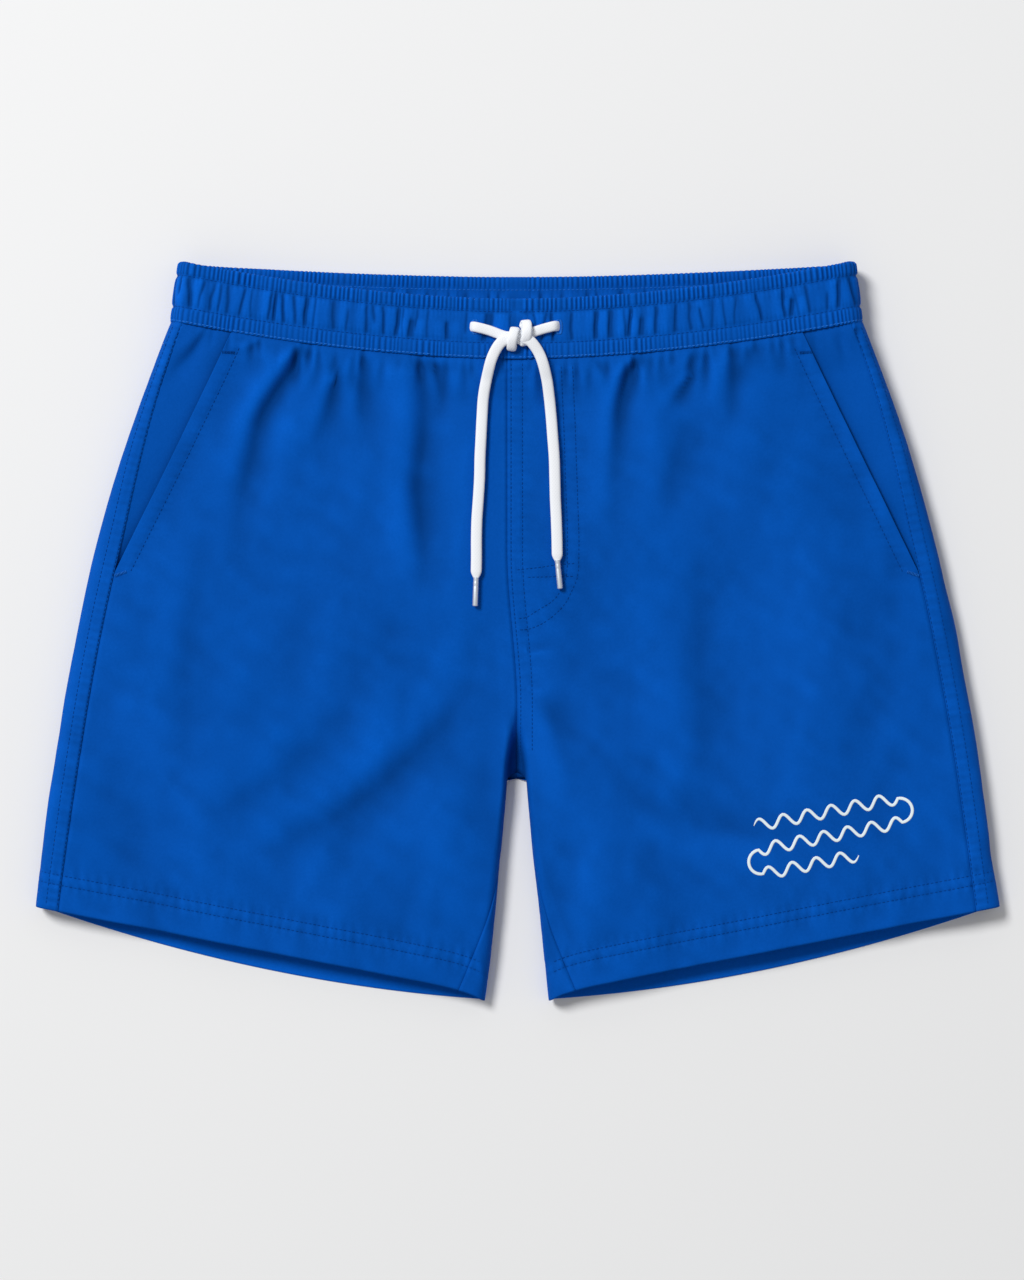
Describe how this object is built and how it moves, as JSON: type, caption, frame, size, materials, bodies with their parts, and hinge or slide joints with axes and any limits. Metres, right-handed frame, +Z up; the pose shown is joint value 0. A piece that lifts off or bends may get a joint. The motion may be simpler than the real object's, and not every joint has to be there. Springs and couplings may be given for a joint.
{
  "type": "drawcord shorts",
  "caption": "Woven pull-on shorts laid flat, front up: gathered elastic waistband with a knotted drawcord, slant pockets, stitched hems and a printed leg motif.",
  "frame": {"origin": "on the table, under the middle of the outline of the shorts as they lie", "axes": "+X to the wearer's left across the shorts, +Y up the shorts to the waist, +Z up off the table, out of the front"},
  "size_m": [0.595, 0.4554, 0.0311],
  "materials": {
    "shell_cloth": "royal blue fine woven polyester, low sheen",
    "pocket_cloth": "plain light pocketing",
    "elastic": "woven elastic",
    "thread": "close satin stitching",
    "cord": "white braided flat cord",
    "tip_metal": "satin silver metal",
    "print": "thin white print"
  },
  "bodies": {
    "shorts": {"front_panel_left": "shell_cloth", "front_panel_right": "shell_cloth", "back_panel_left": "shell_cloth", "back_panel_right": "shell_cloth", "pocket_facing_left": "shell_cloth", "pocket_facing_right": "shell_cloth", "pocket_bag_left": "pocket_cloth", "pocket_bag_right": "pocket_cloth", "pocket_tack_upper_left": "thread", "pocket_tack_lower_left": "thread", "pocket_tack_upper_right": "thread", "pocket_tack_lower_right": "thread", "fly_facing": "shell_cloth", "waistband_casing": "shell_cloth", "waistband_elastic": "elastic", "buttonhole_left": "thread", "buttonhole_right": "thread", "drawcord_channel_run": "cord", "drawcord_knot": "cord", "leg_print": "print"},
    "cord_end_left": {"drawcord_tail_left": "cord", "drawcord_tip_left": "tip_metal"},
    "cord_end_right": {"drawcord_tail_right": "cord", "drawcord_tip_right": "tip_metal"}
  },
  "joints": [
    {"name": "cord_end_left_swing", "type": "hinge", "parent": "shorts", "child": "cord_end_left", "pos_m": [0.0116, 0.172, 0.0268], "axis": [0, 0, 1], "range_deg": [-6, 14]},
    {"name": "cord_end_right_swing", "type": "hinge", "parent": "shorts", "child": "cord_end_right", "pos_m": [-0.0116, 0.172, 0.0268], "axis": [0, 0, 1], "range_deg": [-14, 6]}
  ]
}
